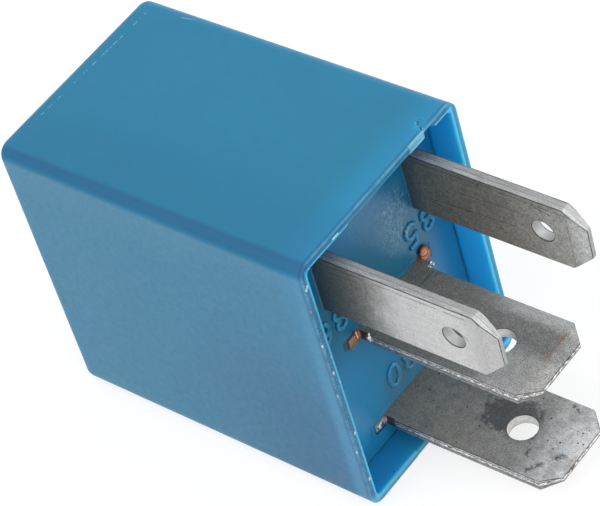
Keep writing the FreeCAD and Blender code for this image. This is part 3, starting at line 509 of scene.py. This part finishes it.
def load_edge(s, face, grit, tear):
    """Sheared long edge of a flat blade: burnished above with painted glints, torn below, dark
    where it rolls, with a painted reflection of the blue base low down and painted light on the
    wall of the hole.
    """
    depth = s.math("SUBTRACT", face, s.z)
    depth = s.math("ADD", depth, s.times(s.noise(1.4, 3, 0.6), 0.12))
    edge = s.blend(s.smooth(tear, 0.36, 0.6), rgb(112, 112, 111), rgb(206, 206, 204))
    # painted glints in the burnished band
    glint_sparks = s.blend(s.smooth(tear, 0.46, 0.54), rgb(84, 84, 83), rgb(255, 255, 253))
    edge = s.over(edge, glint_sparks, s.between(depth, 0.3, 0.48, 0.04))
    # painted reflection of the blue base on the lowest part
    edge = s.over(edge, rgb(88, 94, 98), s.smooth(depth, 0.48, 0.58, 0.0, 0.5))
    for height, share in ((0.07, 0.85), (0.27, 0.6), (0.6, 0.6)):
        line = s.between(depth, height - 0.03, height + 0.03, 0.03)
        edge = s.over(edge, rgb(58, 57, 55), line, share)
    edge = s.shade(edge, s.smooth(grit, 0.36, 0.64, 0.76, 1.14))
    # painted light on the wall of the hole
    lit_bore = s.spot((LOAD_HOLE_X, 0, face - BLADE / 2), 1.3, 0.15)
    return s.over(edge, rgb(220, 219, 216), lit_bore, s.smooth(tear, 0.3, 0.5, 0.35, 0.85))


def copper_cuts(s, colour, face, cut):
    """Copper shows where the stubs and shoulders were cut; it is duller on the lower blade. A
    painted highlight lies on each near stub, and painted shade on the bare copper of the step
    beside it.
    """
    copper = s.times(cut, s.smooth(s.noise(2.4, 4, 0.6), 0.38, 0.55, 0.25, 1.0))
    colour = s.over(colour, rgb(204, 110, 58), copper, s.smooth(s.z, 2.0, 10.0, 0.45, 0.95))
    dulled = s.times(cut, s.smooth(s.y, -3.45, -3.7))
    colour = s.over(colour, rgb(132, 118, 100), dulled, 0.75)
    lower = s.times(cut, s.smooth(s.z, 6.0, 4.0))
    colour = s.over(colour, rgb(168, 178, 186), lower, 0.8)
    colour = s.over(colour, rgb(16, 96, 150), lower, s.smooth(s.z, 2.5, 2.2))
    # painted highlight on the near stub
    stub_highlight = s.spot((4.68, -3.4, face - 0.08), (0.25, 0.06, 0.42), 0.7)
    colour = s.over(colour, rgb(252, 208, 164), stub_highlight, 0.85)
    # painted shade on the bare copper of the step beside the near stub
    wall = s.times(s.between(s.x, 4.6, 5.22, 0.05), s.between(s.y, -3.2, -3.0, 0.03))
    return s.over(colour, rgb(88, 46, 30), wall, 0.85)


def load_blade_surface(name, face, root, tip, marks, calm):
    """A flat blade: face is the height of its upper side, root and tip its two greys."""
    s = Surface(name, metallic=BLADE_METAL)
    colour = s.blend(s.smooth(s.x, 6.0, 15.0), root, tip)
    scatter = s.smooth(s.noise(6.0, 3, 0.8, shift=(1, 9, 4)), 0.56, 0.66)
    scatter = s.times(scatter, s.smooth(s.x, 9.0, 15.0))
    colour = s.over(colour, rgb(226, 227, 227), scatter, 0.35)
    colour, grit, blotch = blade_body(s, colour, marks, calm)
    sheared = s.smooth(s.math("ABSOLUTE", s.facing[2]), 0.86, 0.5)
    tear = s.noise(1.0, 3, 0.75, stretch=(3.2, 3.2, 12.0))
    colour = s.over(colour, load_edge(s, face, grit, tear), sheared)
    # painted shade on the rounded strips along the edges, which dims their highlight
    turned_shade = s.between(s.math("ABSOLUTE", s.facing[2]), 0.3, 0.94, 0.05)
    colour = s.over(colour, rgb(52, 50, 48), turned_shade, s.smooth(blotch, 0.3, 0.5, 0.35, 0.85))
    cut = s.times(s.between(s.x, 4.1, 4.76, 0.1), s.smooth(s.math("ABSOLUTE", s.y), 3.1, 3.2))
    s.set("Base Color", copper_cuts(s, colour, face, cut))
    rough = s.level(sheared, s.smooth(grit, 0.3, 0.7, 0.32, 0.54), 0.48)
    s.set("Roughness", s.level(cut, rough, 0.26))
    s.bump(s.math("ADD", s.times(grit, 0.8), s.times(tear, sheared)), 0.4, 0.00005)
    return s


def marks_87(s):
    z = FACE_87
    line = s.between(s.x, 16.2, 16.29, 0.035)
    worn = s.smooth(s.noise(2.6, 3, 0.6), 0.40, 0.54)
    corner = s.times(s.smooth(s.x, 11.5, 15.5), s.smooth(s.y, 2.2, -2.0))
    strew = s.math("ADD", s.noise(1.6, 2, 0.5), s.times(corner, 0.3))
    specks = s.times(s.smooth(s.cells(3.7, stretch=(1, 1.5, 1), shift=(3, 1, 0)), 0.36, 0.24),
                     s.smooth(strew, 0.66, 0.78))
    return [
        (rgb(186, 188, 188), 0.4, s.smooth(s.x, 16.25, 16.5)),
        (rgb(176, 112, 62), 0.8, s.times(line, worn)),
        (rgb(112, 74, 46), 0.8, specks),
        # painted reflection: lighter along the far edge, and towards the near side at the tip
        (rgb(214, 216, 216), 0.6, s.times(s.smooth(s.y, 1.8, 2.7), s.smooth(s.x, 9.5, 13.0))),
        (rgb(196, 197, 196), 0.65, s.times(s.smooth(s.y, 0.5, -0.8), s.smooth(s.x, 12.2, 14.4))),
        (rgb(84, 84, 83), 0.5, s.stroke((5.6, -3.1, z), (5.9, 2.9, z), 0.07)),
    ]


def marks_30(s):
    z = FACE_30
    ragged = s.noise(1.3, 4, 0.65)
    bright = s.smooth(s.math("ADD", s.x, s.times(ragged, 3.0)), 14.9, 18.0)
    smudge = s.smooth(s.math("ADD", s.spot((11.7, 0.5, z), (3.6, 2.8, 0.9), 1.0),
                             s.times(s.noise(1.9, 5, 0.75, shift=(2, 8, 1)), 1.5)), 1.12, 1.34)
    ring = s.spot((LOAD_HOLE_X, 0, z), (1.5, 1.5, 0.9), 0.5)
    spots = s.smooth(s.cells(1.6, shift=(0, 5, 2)), 0.13, 0.08)
    worn = s.smooth(s.noise(3.2, 4, 0.7), 0.46, 0.56)
    streak = s.most(s.stroke((15.0, -2.7, z), (16.6, -0.6, z), 0.34, 1.0),
                    s.stroke((14.6, 2.9, z), (15.5, 2.6, z), 0.22, 0.9),
                    s.stroke((13.4, 1.6, z), (14.4, -1.8, z), 0.3, 1.0))
    return [
        (rgb(224, 225, 226), 0.85, bright),
        (rgb(78, 79, 78), 0.8, s.most(smudge, s.times(ring, s.smooth(ragged, 0.42, 0.55)))),
        (rgb(40, 40, 39), 0.9, s.times(spots, s.smooth(s.noise(0.8, 2), 0.36, 0.5))),
        (rgb(120, 121, 120), 0.35, s.smooth(s.noise(0.55, 4, 0.7, shift=(5, 5, 0)), 0.5, 0.6)),
        (rgb(70, 70, 69), 0.8, s.times(streak, worn)),
        (rgb(178, 128, 84), 0.6, s.times(s.spot((17.2, -0.8, 2.75), (0.3, 0.7, 0.3)), worn)),
    ]


# Inner parts

WEAR_SCALE = 1.6
WIRE_PITCH = 0.12  # from one turn of the winding to the next, in millimetres

METALS = {  # slot: its colour, its darker tone, its roughness, and the stretch of its wear
    "magnet_steel": (rgb(188, 190, 192), rgb(150, 152, 152), 0.36, (1, 1, 1)),
    "spring_metal": (rgb(206, 150, 108), rgb(180, 122, 82), 0.28, (1, 1, 0.2)),
    "stop_metal": (rgb(206, 180, 118), rgb(178, 150, 92), 0.3, (0.2, 1, 1)),
    "rivet_metal": (rgb(212, 190, 140), rgb(180, 156, 104), 0.32, (1, 1, 1)),
    "contact_silver": (rgb(226, 224, 216), rgb(186, 182, 172), 0.3, (1, 1, 1)),
    "solder": (rgb(196, 198, 202), rgb(160, 162, 166), 0.26, (1, 1, 1)),
}


def plain_metal(name, base, dark, rough, lines):
    s = Surface(name, metallic=1.0)
    wear = s.noise(WEAR_SCALE, 4, 0.6, stretch=lines)
    s.set("Base Color", s.blend(s.smooth(wear, 0.38, 0.7), base, dark))
    s.set("Roughness", s.smooth(wear, 0.3, 0.7, rough - 0.05, rough + 0.1))
    s.bump(s.noise(WEAR_SCALE * 4, 3, 0.6, stretch=lines), 0.15, 0.00003)
    return s


def plain_plastic(name, base, other, rough):
    s = Surface(name)
    share = s.smooth(s.noise(0.8, 3, 0.6), 0.35, 0.7, 0.0, 0.6)
    s.set("Base Color", s.blend(share, base, other))
    s.set("Roughness", s.smooth(s.noise(3.0, 3, 0.6), 0.3, 0.7, rough - 0.05, rough + 0.08))
    s.bump(s.noise(8.0, 3, 0.6), 0.15, 0.00004)
    return s


def wire_surface():
    """Enamelled copper; the turns run round the coil's axis."""
    s = Surface("enamelled_wire", metallic=1.0)
    turns = s.math("SINE", s.times(s.x, 2 * math.pi / WIRE_PITCH))
    colour = s.blend(s.smooth(turns, -1, 1), rgb(120, 52, 24), rgb(196, 104, 54))
    stain = s.smooth(s.noise(0.9, 3, 0.6), 0.4, 0.7, 0.0, 0.4)
    s.set("Base Color", s.over(colour, rgb(150, 62, 30), stain))
    s.set("Roughness", s.smooth(s.noise(2.0, 2, 0.5), 0.3, 0.7, 0.22, 0.34))
    s.bump(turns, 0.6, 0.00003)
    return s


surfaces = {
    "cap_blue": cap_surface(),
    "base_blue": base_surface(),
    "blade_86": coil_blade_surface("blade_86", -COIL_BLADES_Y, rgb(148, 137, 120),
                                   rgb(209, 208, 206), (9.4, 13.4), marks_86, calm=0.85),
    "blade_85": coil_blade_surface("blade_85", COIL_BLADES_Y, rgb(146, 139, 127),
                                   rgb(206, 206, 203), (11.2, 23.2), marks_85, calm=0.2),
    "blade_87": load_blade_surface("blade_87", FACE_87, rgb(151, 145, 134),
                                   rgb(133, 134, 133), marks_87, calm=0.1),
    "blade_30": load_blade_surface("blade_30", FACE_30, rgb(160, 153, 141),
                                   rgb(158, 157, 153), marks_30, calm=0.55),
    "bobbin_plastic": plain_plastic("bobbin_plastic", rgb(52, 52, 54), rgb(40, 40, 42), 0.45),
    "coil_tape": plain_plastic("coil_tape", rgb(204, 170, 84), rgb(186, 150, 66), 0.3),
    "enamelled_wire": wire_surface(),
}
surfaces.update((slot, plain_metal(slot, *look)) for slot, look in METALS.items())


# Helpers for pieces

def give(piece, slot):
    """The piece takes the look of a slot alone."""
    piece.data.materials.clear()
    piece.data.materials.append(surfaces[slot].material)


def smooth_faces(mesh):
    for face in mesh.polygons:
        face.use_smooth = True


def evaluated_mesh(thing):
    """A new mesh of the object, with its modifiers or its curve's bevel applied."""
    bpy.context.view_layer.update()
    return bpy.data.meshes.new_from_object(
        thing.evaluated_get(bpy.context.evaluated_depsgraph_get()))


def add_piece(name, mesh, slot):
    """A trim piece of the case, which rides on the relay's body."""
    piece = bpy.data.objects.new(name, mesh)
    bpy.context.scene.collection.objects.link(piece)
    smooth_faces(mesh)
    give(piece, slot)
    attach(piece, "relay")


def add_shape(name, shape, slot):
    """The same from a bmesh."""
    mesh = bpy.data.meshes.new(name)
    shape.to_mesh(mesh)
    shape.free()
    add_piece(name, mesh, slot)


for node_name, slot in slot_of.items():
    give(nodes[node_name], slot)


# Finished copies of the visible nodes: the same shapes, eased as stamped or moulded edges are

WELD = 2e-6  # corners this close together, in metres, are one
FLAT_ANGLE = 0.6  # degrees between facets of one flat face, at most
EASE_STEPS = 2


def eased(node_name, width, angle):
    """Rounds the edges that are sharper than the angle, in degrees; the width is in metres."""
    piece = bpy.data.objects.new(f"{node_name}_finished", nodes[node_name].data.copy())
    bpy.context.scene.collection.objects.link(piece)
    shape = bmesh.new()
    shape.from_mesh(piece.data)
    bmesh.ops.remove_doubles(shape, verts=shape.verts, dist=WELD)
    bmesh.ops.dissolve_limit(shape, angle_limit=math.radians(FLAT_ANGLE), verts=shape.verts,
                             edges=shape.edges)
    shape.to_mesh(piece.data)
    shape.free()
    ease = piece.modifiers.new("ease", "BEVEL")
    ease.width = width
    ease.segments = EASE_STEPS
    ease.limit_method = "ANGLE"
    ease.angle_limit = math.radians(angle)
    ease.use_clamp_overlap = True
    even = piece.modifiers.new("even", "WEIGHTED_NORMAL")
    even.mode = "FACE_AREA"
    even.weight = 100
    even.keep_sharp = True
    smooth_faces(piece.data)
    done = evaluated_mesh(piece)
    piece.modifiers.clear()
    piece.data = done
    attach(piece, "relay")
    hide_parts(node_name)


for node_name in ("terminal_30", "terminal_87", "terminal_85", "terminal_86"):
    eased(node_name, 0.05 * MM, angle=32)
eased("cap", 0.06 * MM, angle=40)


# Terminal numbers, raised on the base plate and read with the blades pointing at the reader

BASE_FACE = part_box("base_plate")[1].x  # metres
DIGIT_PITCH = 1.65
LINE_RADIUS = 0.18
LINE_LIFT = 0.01  # of the line's middle over the face


def arc(across, up, wide, high, start, end, steps=14):
    """Points on an ellipse, with the angles in degrees."""
    return [(across + wide * math.cos(math.radians(start + (end - start) * i / steps)),
             up + high * math.sin(math.radians(start + (end - start) * i / steps)))
            for i in range(steps + 1)]


DIGITS = {  # strokes of (across, up) in millimetres from the digit's middle
    "0": [arc(0, 0, 0.48, 0.85, 0, 360)],
    "3": [arc(-0.02, 0.42, 0.44, 0.43, 150, -80) + arc(-0.02, -0.42, 0.5, 0.43, 82, -150)],
    "5": [[(0.42, 0.85), (-0.36, 0.85), (-0.42, 0.1)] + arc(0.0, -0.32, 0.5, 0.53, 128, -150)],
    "6": [arc(0.2, 0.0, 0.7, 0.85, 75, 165, 8) + arc(0, -0.35, 0.48, 0.5, 180, 540, 20)],
    "7": [[(-0.45, 0.85), (0.45, 0.85), (0.1, 0.1), (-0.12, -0.85)]],
    "8": [arc(0, 0.44, 0.42, 0.41, -90, 270), arc(0, -0.42, 0.5, 0.43, 90, 450)],
}


def digit_curve(name, strokes, shift):
    """A digit as round lines, upside down in this pose as on the real part."""
    curve = bpy.data.curves.new(name, "CURVE")
    curve.dimensions = "3D"
    curve.bevel_depth = LINE_RADIUS * MM
    curve.bevel_resolution = 2
    curve.use_fill_caps = True
    for points in strokes:
        closed = math.dist(points[0], points[-1]) < 0.01
        points = points[:-1] if closed else points
        spline = curve.splines.new("POLY")
        spline.points.add(len(points) - 1)
        for point, (across, up) in zip(spline.points, points):
            point.co = (0, -(across + shift) * MM, -up * MM, 1)
        spline.use_cyclic_u = closed
    return curve


def numeral(text, centre_y, centre_z):
    for place, character in enumerate(text):
        name = f"number_{text}_{place}"
        shift = (place - (len(text) - 1) / 2) * DIGIT_PITCH
        ink = bpy.data.objects.new(name, digit_curve(name, DIGITS[character], shift))
        bpy.context.scene.collection.objects.link(ink)
        mesh = evaluated_mesh(ink)
        bpy.data.objects.remove(ink)
        mesh.transform(Matrix.Translation((BASE_FACE + LINE_LIFT * MM, centre_y * MM,
                                           centre_z * MM)))
        add_piece(name, mesh, "base_blue")


numeral("85", 4.28, 12.88)
numeral("86", -4.85, 12.88)
numeral("30", -0.4, 4.75)
numeral("87", 0.0, 8.45)


# Sealing resin creeps up round each blade and closes its slot

SEAL_STEPS = 9  # points on each side of a ring
SEAL_DEPTH = 0.5  # that it reaches down behind the base plate's face
INTO_PLATE = 0.03
INTO_BLADE = -0.04

SEALS = (  # name, the blade's section (y from, y to, z from, z to), gap round it, rise at it
    ("resin_85", (4.2, 5.0, 14.55, 19.35), 0.11, 0.02),
    ("resin_86", (-5.0, -4.2, 14.55, 19.35), 0.11, 0.02),
    ("resin_87", (-4.1, 4.5, 10.04, 10.84), 0.22, 0.03),
    ("resin_30", (-4.1, 4.5, 2.07, 2.87), 0.22, 0.03),
)


def seal_ring(section, grow, height):
    """Points round the section, grown by a margin; above the face their height wavers."""
    left, right, low, high = section
    face = BASE_FACE / MM
    corners = [(left - grow, low - grow), (right + grow, low - grow),
               (right + grow, high + grow), (left - grow, high + grow)]
    points = []
    for (y0, z0), (y1, z1) in zip(corners, corners[1:] + corners[:1]):
        for i in range(SEAL_STEPS):
            y, z = y0 + (y1 - y0) * i / SEAL_STEPS, z0 + (z1 - z0) * i / SEAL_STEPS
            wobble = 0.35 * math.sin(3.1 * y + 1.7 * z) * math.cos(2.3 * z - y)
            x = height if height < face else face + (height - face) * (1 + wobble)
            points.append(Vector((x, y, z)) * MM)
    return points


for name, section, gap, rise in SEALS:
    face = BASE_FACE / MM
    profile = ((gap + INTO_PLATE, face - SEAL_DEPTH), (gap + INTO_PLATE, face - 0.02),
               (gap * 0.5, face + rise * 0.25), (gap * 0.12, face + rise),
               (INTO_BLADE, face + rise * 1.1), (INTO_BLADE, face - SEAL_DEPTH))
    shape = bmesh.new()
    rings = [[shape.verts.new(point) for point in seal_ring(section, grow, height)]
             for grow, height in profile]
    for first, second in zip(rings, rings[1:] + rings[:1]):
        for i in range(len(first)):
            j = (i + 1) % len(first)
            shape.faces.new((first[i], first[j], second[j], second[i]))
    bmesh.ops.recalc_face_normals(shape, faces=shape.faces)
    add_shape(name, shape, "base_blue")


# Burrs left on the sheared stubs and shoulders: knobbly balls

BURRS = (  # name, centre, radii, place in the noise, slot, depth of the lumps
    ("burr_87_far", (5.34, 3.5, 10.74), (0.22, 0.14, 0.16), 1.0, "solder", 0.55),
    ("burr_87_near", (5.34, -3.14, 10.58), (0.17, 0.19, 0.35), 4.0, "solder", 0.55),
    ("stub_87_near", (4.56, -3.38, 10.72), (0.13, 0.10, 0.46), 6.0, "blade_87", 0.2),
    ("stub_87_far", (4.5, 3.95, 11.02), (0.20, 0.40, 0.38), 2.0, "blade_87", 0.15),
    ("burr_30_near", (4.6, -3.72, 2.62), (0.10, 0.30, 0.22), 7.0, "solder", 0.55),
    ("burr_30_far", (5.26, 3.9, 2.6), (0.10, 0.3, 0.2), 9.0, "solder", 0.55),
)

for name, centre, radii, seed, slot, lumps in BURRS:
    shape = bmesh.new()
    bmesh.ops.create_icosphere(shape, subdivisions=3, radius=1.0)
    for vert in shape.verts:
        lump = noise.noise(vert.co * 1.6 + Vector((seed, 0, 0)))
        vert.co = Vector([c * r for c, r in zip(vert.co * (1 + lumps * lump), radii)])
        vert.co = (vert.co + Vector(centre)) * MM
    add_shape(name, shape, slot)


# The leaf: a copy of the contact spring, with its place baked into the mesh

leaf = bpy.data.objects.new("contact_leaf", nodes["contact_spring"].data.copy())
bpy.context.scene.collection.objects.link(leaf)
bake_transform(leaf)
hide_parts("contact_spring")


# Floor, light and camera, in metres

FLOOR_HALF = 0.9
FLOOR_Z = -2e-5  # just under the part
FLOOR_GREY = (0.86, 0.86, 0.86, 1)
FLOOR_LIFT = 0.65  # share of its own glow that background rays see
FLOOR_GLOW = 1.12
WORLD_GREY = (0.8, 0.8, 0.8, 1)
WORLD_LOW, WORLD_HIGH = 0.35, 0.9  # strength of its light at the horizon and overhead

LAMPS = (  # name, place, size, power in watts
    ("key", (-0.04, -0.30, 0.40), (0.34, 0.34), 1.15),
    ("fill", (0.38, -0.06, 0.22), (0.30, 0.24), 0.65),
    ("back", (0.12, 0.36, 0.16), (0.30, 0.22), 0.8),
)
LAMP_AIM = Vector((0, 0, 0.01))

CAMERA_PLACE = (0.101891, -0.088188, 0.143831)
CAMERA_TURN = Matrix(((0.77838741, -0.30689928, 0.54765488),
                      (0.5879508, 0.66217315, -0.46458645),
                      (-0.22006111, 0.68362237, 0.69586893)))
LENS, SENSOR = 184.09, 36  # millimetres


def make_floor():
    """Paper that keeps the shadow, lifted to white for the rays that show the background."""
    h, z = FLOOR_HALF, FLOOR_Z
    mesh = bpy.data.meshes.new("floor")
    mesh.from_pydata([(-h, -h, z), (h, -h, z), (h, h, z), (-h, h, z)], [], [(0, 1, 2, 3)])
    floor = bpy.data.objects.new("floor", mesh)
    bpy.context.scene.collection.objects.link(floor)
    material = bpy.data.materials.new("floor_white")
    material.use_nodes = True
    t = Tree(material.node_tree)
    out = t.node("ShaderNodeOutputMaterial")
    paper = t.node("ShaderNodeBsdfDiffuse")
    t.feed(paper.inputs["Color"], FLOOR_GREY)
    lift = t.node("ShaderNodeEmission")
    t.feed(lift.inputs["Strength"], FLOOR_GLOW)
    both = t.node("ShaderNodeMixShader")
    t.feed(both.inputs[0], t.times(t.background_rays(), FLOOR_LIFT))
    t.feed(both.inputs[1], paper.outputs[0])
    t.feed(both.inputs[2], lift.outputs[0])
    t.feed(out.inputs[0], both.outputs[0])
    mesh.materials.append(material)


def make_world():
    """Pale behind the part and in its reflections; its light dims towards the horizon."""
    world = bpy.data.worlds.new("studio")
    bpy.context.scene.world = world
    world.use_nodes = True
    t = Tree(world.node_tree)
    out = t.node("ShaderNodeOutputWorld")
    back = t.node("ShaderNodeBackground")
    t.feed(back.inputs["Color"], WORLD_GREY)
    way = t.node("ShaderNodeTexCoord")
    split = t.node("ShaderNodeSeparateXYZ")
    t.feed(split.inputs[0], way.outputs["Generated"])
    light = t.smooth(split.outputs["Z"], -0.05, 1.0, WORLD_LOW, WORLD_HIGH)
    t.feed(back.inputs["Strength"], t.level(t.background_rays(), light, 1.0))
    t.feed(out.inputs[0], back.outputs[0])


def softbox(name, place, size, power):
    lamp = bpy.data.lights.new(name, "AREA")
    lamp.shape = "RECTANGLE"
    lamp.size, lamp.size_y = size
    lamp.energy = power
    thing = bpy.data.objects.new(name, lamp)
    bpy.context.scene.collection.objects.link(thing)
    thing.location = place
    thing.rotation_euler = (LAMP_AIM - Vector(place)).to_track_quat("-Z", "Y").to_euler()


make_floor()
make_world()
for lamp in LAMPS:
    softbox(*lamp)

camera = bpy.data.objects.new("camera", bpy.data.cameras.new("camera"))
bpy.context.scene.collection.objects.link(camera)
camera.matrix_world = Matrix.Translation(CAMERA_PLACE) @ CAMERA_TURN.to_4x4()
camera.data.sensor_width = SENSOR
camera.data.sensor_fit = "HORIZONTAL"
camera.data.lens = LENS
camera.data.clip_start = 0.005
camera.data.clip_end = 5
bpy.context.scene.camera = camera

bpy.context.scene.view_settings.view_transform = "Standard"
